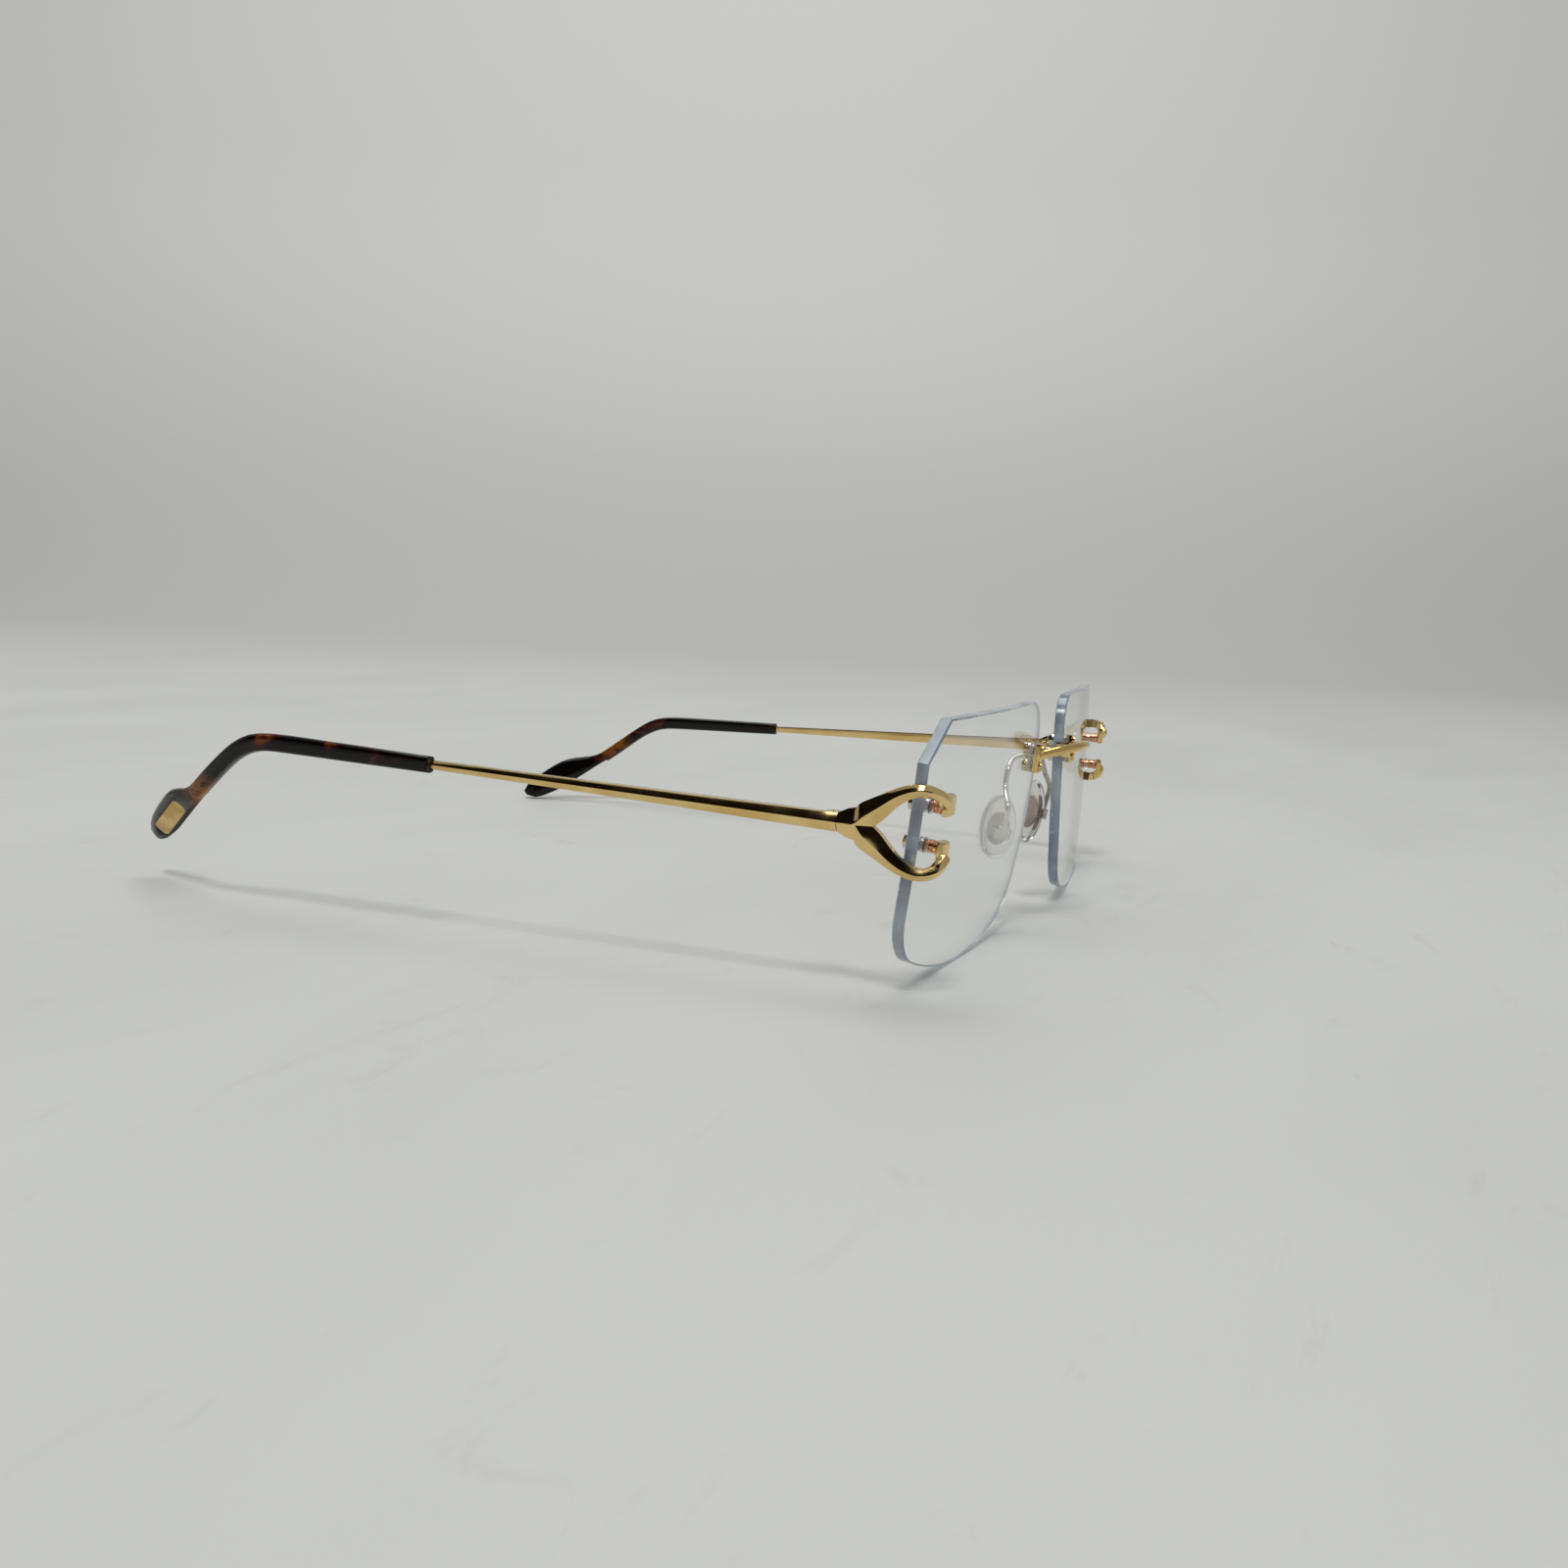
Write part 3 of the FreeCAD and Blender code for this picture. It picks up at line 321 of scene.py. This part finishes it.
def lens_rim_glass():
    """The polished edge of a lens: slate blue, with paler and darker stretches along it and painted
    glints.
    """
    finish, tree, surface = new_finish("lens_edge")
    set_plain(surface, Transmission_Weight=0.35, IOR=1.5, Coat_Weight=0.6, Coat_Roughness=0.08)
    place = object_place(tree)
    stretch = add(tree, "ShaderNodeMapping")
    stretch.inputs["Scale"].default_value = (1.0, 1.0, 0.55)
    feed(tree, place, stretch.inputs["Vector"])
    long_cloud = noise(tree, stretch.outputs["Vector"], 130.0, 2.0, 0.45)
    fine_cloud = noise(tree, stretch.outputs["Vector"], 620.0, 3.0, 0.55)
    body = blended(tree, ranged(tree, long_cloud, 0.35, 0.66, 0.0, 1.0, True),
                   linear(122, 140, 162), linear(192, 204, 218))
    # Painted glints: near-white flecks mixed into the edge colour stand in for highlights on the polished
    # edge.
    painted_glint = ranged(tree, fine_cloud, 0.6, 0.74, 0.0, 0.55, True)
    feed(tree, blended(tree, painted_glint, body, linear(226, 234, 242)), surface.inputs["Base Color"])
    feed(tree, ranged(tree, fine_cloud, 0.3, 0.7, 0.1, 0.3), surface.inputs["Roughness"])
    let_lamps_through(tree, surface, (0.26, 0.28, 0.31, 1))
    return finish


def clear_plastic(name, bright, deep, polish, clearness):
    """Clear moulded plastic or silicone."""
    finish, tree, surface = new_finish(name)
    set_plain(surface, Transmission_Weight=clearness, IOR=1.43)
    shade_and_mark(tree, surface, bright, deep, 300.0, Smear_Scale=260.0, Polish=polish, Smear=0.08)
    let_lamps_through(tree, surface, (0.86, 0.86, 0.85, 1))
    return finish


def frosted_core():
    """The frosted core inside a nose pad."""
    finish, tree, surface = new_finish("frosted_pad_core")
    set_plain(surface, Subsurface_Weight=0.25, Subsurface_Scale=0.8 * MM)
    bright, deep = linear(206, 192, 188), linear(176, 160, 156)
    shade_and_mark(tree, surface, bright, deep, 420.0, Smear_Scale=700.0, Polish=0.45, Smear=0.2)
    bump(tree, noise(tree, object_place(tree), 3000.0, 2.0), 0.3, GRAIN_DEPTH, surface)
    return finish


# The middle of the amber cloud on a tip's neck, and where it starts and stops fading.
TIP_NECK = Vector((0.0690, 0.0560, 0.0160))
NECK_FULL = 1.5 * MM
NECK_GONE = 7.0 * MM


def tortoise():
    """Near-black marbled acetate with amber and red-brown clouds under a polished surface."""
    finish, tree, surface = new_finish("dark_tortoise_acetate")
    set_plain(surface, IOR=1.46, Specular_IOR_Level=0.32)
    place = object_place(tree)
    warp = add(tree, "ShaderNodeMapping")
    warp.inputs["Scale"].default_value = (1.0, 0.55, 0.9)
    warp.inputs["Location"].default_value = (0.013, 0.027, 0.004)
    feed(tree, place, warp.inputs["Vector"])
    broad = noise(tree, warp.outputs["Vector"], 165.0, 3.0, 0.55, 0.9)
    small = noise(tree, warp.outputs["Vector"], 420.0, 4.0, 0.6, 1.4)
    red_mask = ranged(tree, broad, 0.56, 0.70, 0.0, 0.8, True)
    dark = blended(tree, ranged(tree, small, 0.4, 0.7, 0.0, 1.0, True), linear(6, 4, 4), linear(16, 8, 7))
    ruddy = blended(tree, red_mask, dark, linear(66, 22, 12))
    amber_mask = add(tree, "ShaderNodeMath", operation="MULTIPLY")
    feed(tree, ranged(tree, broad, 0.63, 0.76, 0.0, 0.8, True), amber_mask.inputs[0])
    feed(tree, ranged(tree, small, 0.42, 0.6, 0.0, 1.0, True), amber_mask.inputs[1])
    marbled = blended(tree, amber_mask.outputs[0], ruddy, linear(150, 84, 22))
    neck = neck_mask(tree, place, small)
    feed(tree, blended(tree, neck, marbled, linear(142, 84, 24)), surface.inputs["Base Color"])
    marks = placed_group(tree, HANDLING, Smear_Scale=160.0, Polish=0.07, Smear=0.08)
    feed(tree, marks.outputs["Roughness"], surface.inputs["Roughness"])
    bump(tree, marks.outputs["Height"], HAIRLINE_RELIEF, HAIRLINE_DEPTH, surface)
    return finish


def neck_mask(tree, place, small):
    """The amber cloud on the neck of each tip, the same on both sides."""
    fold = add(tree, "ShaderNodeVectorMath", operation="ABSOLUTE")
    feed(tree, place, fold.inputs[0])
    gap = add(tree, "ShaderNodeVectorMath", operation="DISTANCE")
    feed(tree, fold.outputs["Vector"], gap.inputs[0])
    gap.inputs[1].default_value = TIP_NECK
    near = ranged(tree, gap.outputs["Value"], NECK_FULL, NECK_GONE, 1.0, 0.0, True)
    patchy = add(tree, "ShaderNodeMath", operation="MULTIPLY")
    feed(tree, near, patchy.inputs[0])
    feed(tree, ranged(tree, small, 0.36, 0.54, 0.1, 1.0, True), patchy.inputs[1])
    return patchy.outputs[0]


GILT = plated_metal("polished_gilt", linear(238, 208, 146), linear(222, 186, 118), 0.07, 0.09)
ROSE = plated_metal("rose_gilt", linear(232, 190, 158), linear(214, 160, 124), 0.10, 0.10, 300.0)
SILVER = plated_metal("polished_nickel", linear(214, 210, 202), linear(176, 172, 164), 0.10, 0.12)
PLAQUE = plaque_metal()
GLASS = lens_glass()
GLASS_EDGE = lens_rim_glass()
CLEAR = clear_plastic("clear_bushing", linear(244, 246, 248), linear(232, 234, 236), 0.06, 0.9)
PAD = clear_plastic("clear_silicone", linear(250, 249, 247), linear(240, 237, 233), 0.05, 1.0)
FROST = frosted_core()
TORTOISE = tortoise()

# ---------------------------------------------------------------- the metal and plastic of the frame

NODE_FINISHES = {
    "bridge": GILT,
    "bridge_screws": GILT,
    "bridge_nuts": SILVER,
    "bridge_sleeves": CLEAR,
    "bridge_washers": CLEAR,
    "endpiece": GILT,
    "endpiece_nuts": SILVER,
    "endpiece_sleeves": CLEAR,
    "endpiece_washers": CLEAR,
    "hinge_front_leaf": GILT,
    "hinge_rear_leaf": GILT,
    "hinge_screw": GILT,
    "hinge_washers": SILVER,
    "temple_bar": GILT,
    "temple_tip": TORTOISE,
    "tip_plaque": PLAQUE,
    "pad_arm": SILVER,
    "pad_box": SILVER,
    "pad_screw": SILVER,
    "pad_insert": FROST,
    "nose_pad": PAD,
}

# How far each kind of piece has its corners eased, in millimetres.
EASED_CORNERS = {
    "bridge": 0.10,
    "endpiece": 0.10,
    "hinge_front_leaf": 0.06,
    "hinge_rear_leaf": 0.06,
    "temple_bar": 0.07,
    "temple_tip": 0.05,
    "tip_plaque": 0.05,
    "pad_box": 0.08,
    "bridge_screws": 0.04,
    "bridge_nuts": 0.04,
    "endpiece_nuts": 0.04,
    "hinge_screw": 0.04,
    "pad_screw": 0.04,
}
SMOOTH_LIMIT = math.radians(38)
FLAT_LIMIT = math.radians(0.6)
CORNER_LIMIT = math.radians(32)
CORNER_STEPS = 2
JOIN_DISTANCE = 0.0008 * MM


def mesh_group(name):
    """An empty group that changes a mesh, with its way in and way out."""
    group = bpy.data.node_groups.new(name, "GeometryNodeTree")
    for way in ("INPUT", "OUTPUT"):
        group.interface.new_socket("Geometry", in_out=way, socket_type="NodeSocketGeometry")
    return group, group.nodes.new("NodeGroupInput"), group.nodes.new("NodeGroupOutput")


def make_joining():
    """Joins a shell's split seams and drops its stored normals, so that its corners can be eased."""
    group, entry, way_out = mesh_group("join seams")
    merge = group.nodes.new("GeometryNodeMergeByDistance")
    merge.inputs["Distance"].default_value = JOIN_DISTANCE
    drop = group.nodes.new("GeometryNodeRemoveAttribute")
    drop.inputs["Name"].default_value = "custom_normal"
    feed(group, entry.outputs["Geometry"], merge.inputs["Geometry"])
    feed(group, merge.outputs["Geometry"], drop.inputs["Geometry"])
    feed(group, drop.outputs["Geometry"], way_out.inputs["Geometry"])
    return group


def make_shading():
    """Smooth faces, with sharp edges where the surface turns by more than a limit."""
    group, entry, way_out = mesh_group("smooth by angle")
    faces = group.nodes.new("GeometryNodeSetShadeSmooth")
    edges = group.nodes.new("GeometryNodeSetShadeSmooth")
    edges.domain = "EDGE"
    edges.inputs["Shade Smooth"].default_value = False
    angle = group.nodes.new("GeometryNodeInputMeshEdgeAngle")
    turned = group.nodes.new("FunctionNodeCompare")
    turned.operation = "GREATER_THAN"
    feed(group, angle.outputs["Unsigned Angle"], turned.inputs["A"])
    turned.inputs["B"].default_value = SMOOTH_LIMIT
    feed(group, entry.outputs["Geometry"], faces.inputs["Geometry"])
    feed(group, faces.outputs["Geometry"], edges.inputs["Geometry"])
    feed(group, turned.outputs["Result"], edges.inputs["Selection"])
    feed(group, edges.outputs["Geometry"], way_out.inputs["Geometry"])
    return group


JOINING = make_joining()
SHADING = make_shading()


def shade_smooth(thing):
    """Smooth shading that keeps sharp corners."""
    shaded = thing.modifiers.new("smooth by angle", "NODES")
    shaded.node_group = SHADING


def ease_corners(thing, width):
    """Round the corners of a piece by a small width and shade it smoothly."""
    joined = thing.modifiers.new("join seams", "NODES")
    joined.node_group = JOINING
    if width:
        flat = thing.modifiers.new("merge flats", "DECIMATE")
        flat.decimate_type = "DISSOLVE"
        flat.angle_limit = FLAT_LIMIT
        bevel = thing.modifiers.new("eased corners", "BEVEL")
        bevel.width = width * MM
        bevel.segments = CORNER_STEPS
        bevel.limit_method = "ANGLE"
        bevel.angle_limit = CORNER_LIMIT
        bevel.use_clamp_overlap = True
    shade_smooth(thing)


def dress(node_name, kind):
    """Give a frame node its finish and its eased corners."""
    thing = nodes[node_name]
    thing.data.materials.clear()
    thing.data.materials.append(NODE_FINISHES[kind])
    ease_corners(thing, EASED_CORNERS.get(kind, 0.0))


dress("bridge", "bridge")
for side in SIDES:
    for kind in NODE_FINISHES:
        if kind != "bridge":
            dress(f"{side}_{kind}", kind)

# ---------------------------------------------------------------- lenses


def new_piece(name, mesh, finishes, body):
    """A piece in the scene with its finishes, riding on a body of the frame."""
    piece = placed(name, mesh)
    for finish in finishes:
        mesh.materials.append(finish)
    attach(piece, body)
    return piece


# A face whose normal is this near to straight ahead is a lens's front or back; the rest are its edge.
FACE_ON = 0.88


def polished_lens(side):
    """A lens whose faces are clear and whose edge and bores are polished slate blue."""
    node = f"{side}_lens"
    shape = bmesh.new()
    shape.from_mesh(nodes[node].data)
    bmesh.ops.remove_doubles(shape, verts=shape.verts, dist=JOIN_DISTANCE)
    for face in shape.faces:
        face.material_index = 1 if abs(face.normal.y) < FACE_ON else 0
        face.smooth = True
    mesh = bpy.data.meshes.new(f"{side}_polished_lens")
    shape.to_mesh(mesh)
    shape.free()
    piece = new_piece(f"{side}_polished_lens", mesh, (GLASS, GLASS_EDGE), "front")
    shade_smooth(piece)
    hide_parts(node)


# ---------------------------------------------------------------- ringed studs

# Stud sizes are in millimetres.
SHANK_RADIUS = 0.6
SPIGOT_LONG = 0.77
NOSE_BEVEL = 0.05
END_BEVEL = 0.1
# The barrel from its front end back: (distance behind the front end, radius), in millimetres.
BARREL_PROFILE = (
    (0.0, 0.78), (0.06, 0.92), (0.14, 1.0), (0.42, 1.0), (0.50, 0.95), (0.54, 0.80), (0.66, 0.80),
    (0.70, 0.93), (0.76, 0.99), (0.98, 0.99), (1.04, 0.93), (1.08, 0.80), (1.18, 0.80), (1.22, 0.93),
    (1.28, 0.98), (1.50, 0.98), (1.58, 0.92), (1.62, 0.74), (1.83, 0.74),
)
THREAD_PITCH = 0.25
THREAD_DEPTH = 0.04
TURNS = 40


def stud_line(points):
    """The front end, back end and unit direction of one stud, from its points."""
    middle = points.mean(axis=0)
    _, _, rows = np.linalg.svd(points - middle, full_matrices=False)
    axis = rows[0] if rows[0][1] < 0 else -rows[0]
    along = (points - middle) @ axis
    return Vector(middle + axis * along.max()), Vector(middle + axis * along.min()), Vector(axis)


def stud_profile(length):
    """Distance behind the front end and radius, from the spigot to the thread's end."""
    profile = [(0.0, 0.0), (0.0, SHANK_RADIUS - NOSE_BEVEL), (NOSE_BEVEL, SHANK_RADIUS),
               (SPIGOT_LONG, SHANK_RADIUS)]
    profile += [(SPIGOT_LONG + far, radius) for far, radius in BARREL_PROFILE]
    start = SPIGOT_LONG + BARREL_PROFILE[-1][0]
    steps = int((length - start - END_BEVEL) / (THREAD_PITCH / 2))
    for step in range(steps):
        groove = THREAD_DEPTH if step % 2 else 0.0
        profile.append((start + 0.02 + step * THREAD_PITCH / 2, SHANK_RADIUS - groove))
    profile += [(length - 0.06, SHANK_RADIUS - 0.02), (length, SHANK_RADIUS - END_BEVEL), (length, 0.0)]
    return profile


def turned(shape, front, axis, profile):
    """Add a turned piece to a mesh being built; axis points to its front."""
    across = axis.orthogonal().normalized()
    other = axis.cross(across)
    rings = []
    for far, radius in profile:
        middle = front - axis * far * MM
        if radius == 0.0:
            rings.append([shape.verts.new(middle)])
            continue
        ring = []
        for step in range(TURNS):
            angle = 2 * math.pi * step / TURNS
            outward = across * math.cos(angle) + other * math.sin(angle)
            ring.append(shape.verts.new(middle + outward * radius * MM))
        rings.append(ring)
    for one, two in zip(rings, rings[1:]):
        for step in range(TURNS):
            after = (step + 1) % TURNS
            if len(one) == 1:
                shape.faces.new((one[0], two[step], two[after]))
            elif len(two) == 1:
                shape.faces.new((one[step], two[0], one[after]))
            else:
                shape.faces.new((one[step], two[step], two[after], one[after]))


def ringed_studs(side):
    """The two studs of one end piece, with ringed barrels and cut threads."""
    node = f"{side}_endpiece_studs"
    points = np.array([vert.co for vert in nodes[node].data.vertices])
    level = (points[:, 2].min() + points[:, 2].max()) / 2
    shape = bmesh.new()
    for group in (points[points[:, 2] > level], points[points[:, 2] <= level]):
        front, back, axis = stud_line(group)
        turned(shape, front, axis, stud_profile((front - back).length / MM))
    bmesh.ops.recalc_face_normals(shape, faces=shape.faces)
    mesh = bpy.data.meshes.new(f"{side}_ringed_studs")
    shape.to_mesh(mesh)
    shape.free()
    piece = new_piece(f"{side}_ringed_studs", mesh, (ROSE,), "front")
    shade_smooth(piece)
    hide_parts(node)


for side in SIDES:
    polished_lens(side)
    ringed_studs(side)

# ---------------------------------------------------------------- studio


def floor_finish():
    """Pale, faintly marbled floor with soft grey drifts and a few darker veined marks close around the
    glasses.
    """
    finish, tree, surface = new_finish("pale_floor")
    place = object_place(tree)
    drift = add(tree, "ShaderNodeMapping")
    drift.inputs["Rotation"].default_value = (0, 0, 0.35)
    drift.inputs["Scale"].default_value = (1.0, 2.6, 1.0)
    feed(tree, place, drift.inputs["Vector"])
    broad = noise(tree, drift.outputs["Vector"], 5.0, 3.0, 0.5, 0.4)
    veins = noise(tree, drift.outputs["Vector"], 34.0, 6.0, 0.65, 1.2)
    drifts = blended(tree, ranged(tree, broad, 0.35, 0.7, 0.0, 1.0, True), linear(204, 205, 202),
                     linear(198, 199, 196))
    reach = add(tree, "ShaderNodeVectorMath", operation="LENGTH")
    feed(tree, place, reach.inputs[0])
    distant = ranged(tree, reach.outputs["Value"], 0.35, 0.8, 0.0, 1.0, True)
    ground = blended(tree, distant, drifts, linear(202, 202, 199))
    apart = add(tree, "ShaderNodeSeparateXYZ")
    feed(tree, place, apart.inputs["Vector"])
    # Painted light: the backdrop is painted paler as it rises, standing in for lamp light on the wall.
    painted_backdrop_light = ranged(tree, apart.outputs["Z"], 0.0, 0.5, 0.0, 1.0, True)
    base = blended(tree, painted_backdrop_light, ground, linear(238, 238, 235))
    # Darker veined marks, only within about 0.42 m of the middle where the glasses stand.
    close = add(tree, "ShaderNodeMath", operation="MULTIPLY")
    feed(tree, ranged(tree, reach.outputs["Value"], 0.12, 0.42, 1.0, 0.0, True), close.inputs[0])
    feed(tree, ranged(tree, veins, 0.58, 0.76, 0.0, 0.42, True), close.inputs[1])
    feed(tree, blended(tree, close.outputs[0], base, linear(182, 182, 175)), surface.inputs["Base Color"])
    feed(tree, ranged(tree, broad, 0.3, 0.7, 0.55, 0.6), surface.inputs["Roughness"])
    set_plain(surface, Specular_IOR_Level=0.2)
    bump(tree, close.outputs[0], 0.12, 0.3 * MM, surface)
    return finish


FLOOR_REACH = 3.0
FLOOR_DROP = 0.02 * MM
WALL_DISTANCE = 1.35
WALL_CURVE = 0.5
WALL_HEIGHT = 2.4
CURVE_STEPS = 24


def sweep_profile():
    """Floor and backdrop in one sheet, as (distance from the middle, height)."""
    profile = [(-FLOOR_REACH, 0.0), (0.0, 0.0), (WALL_DISTANCE - WALL_CURVE, 0.0)]
    for step in range(1, CURVE_STEPS + 1):
        angle = math.pi / 2 * step / CURVE_STEPS
        profile.append((WALL_DISTANCE - WALL_CURVE + WALL_CURVE * math.sin(angle),
                        WALL_CURVE * (1 - math.cos(angle))))
    profile.append((WALL_DISTANCE, WALL_HEIGHT))
    return profile


def lay_floor():
    """The floor, which curves up into a backdrop beyond the glasses."""
    ahead = Vector((CAMERA_AHEAD.x, CAMERA_AHEAD.y, 0)).normalized()
    across = Vector((-ahead.y, ahead.x, 0))
    shape = bmesh.new()
    rows = []
    for far, height in sweep_profile():
        rows.append([shape.verts.new(ahead * far + across * reach + Vector((0, 0, height - FLOOR_DROP)))
                     for reach in (-FLOOR_REACH, 0.0, FLOOR_REACH)])
    for one, two in zip(rows, rows[1:]):
        for column in (0, 1):
            face = shape.faces.new((one[column], one[column + 1], two[column + 1], two[column]))
            face.smooth = True
    mesh = bpy.data.meshes.new("studio_floor")
    bmesh.ops.recalc_face_normals(shape, faces=shape.faces)
    shape.to_mesh(mesh)
    shape.free()
    floor = placed("studio_floor", mesh)
    mesh.materials.append(floor_finish())


def hang_card(name, corners, shade):
    """A dark card that only reflections see, as the unlit room beside the set."""
    mesh = bpy.data.meshes.new(name)
    mesh.from_pydata(corners, [], [(0, 1, 2, 3)])
    card = placed(name, mesh)
    finish, _, surface = new_finish(name)
    set_plain(surface, Base_Color=shade, Roughness=1.0, Specular_IOR_Level=0.0)
    mesh.materials.append(finish)
    card.visible_camera = False
    card.visible_diffuse = False
    card.visible_transmission = False
    card.visible_shadow = False


AIR_COLOUR = (0.93, 0.95, 0.94, 1)
AIR_STRENGTH = 0.36
# Each panel: name, place, the point it is aimed at, width, depth, power in watts, colour.
PANELS = (
    ("overhead_panel", (0.30, 0.25, 1.5), (0.1, 0.1, 0.0), 1.2, 0.8, 9.0, (1.0, 1.0, 0.98)),
    ("key_panel", (-0.68, -0.15, 1.4), (0.0, 0.0, 0.0), 0.28, 0.28, 8.0, (1.0, 0.995, 0.98)),
)
CARD_CORNERS = ((-1.0, -1.2, 0.22), (-1.0, 1.6, 0.22), (-0.55, 1.6, 1.15), (-0.55, -1.2, 1.15))
CARD_SHADE = (0.012, 0.010, 0.008, 1)


def hang_light(name, place, target, width, depth, power, colour):
    """A soft panel light aimed at a point."""
    data = bpy.data.lights.new(name, "AREA")
    data.shape = "RECTANGLE"
    data.size = width
    data.size_y = depth
    data.energy = power
    data.color = colour
    lamp = placed(name, data)
    lamp.location = place
    lamp.rotation_euler = (Vector(target) - Vector(place)).to_track_quat("-Z", "Y").to_euler()


def light_room():
    """Even pale light all round, a broad panel overhead and a smaller one beside the right temple."""
    world = bpy.data.worlds.new("studio_air")
    world.use_nodes = True
    background = world.node_tree.nodes["Background"]
    background.inputs["Color"].default_value = AIR_COLOUR
    background.inputs["Strength"].default_value = AIR_STRENGTH
    scene.world = world
    for panel in PANELS:
        hang_light(*panel)
    hang_card("dark_room_card", CARD_CORNERS, CARD_SHADE)


lay_floor()
light_room()
scene.view_settings.view_transform = "Standard"
scene.view_settings.look = "None"
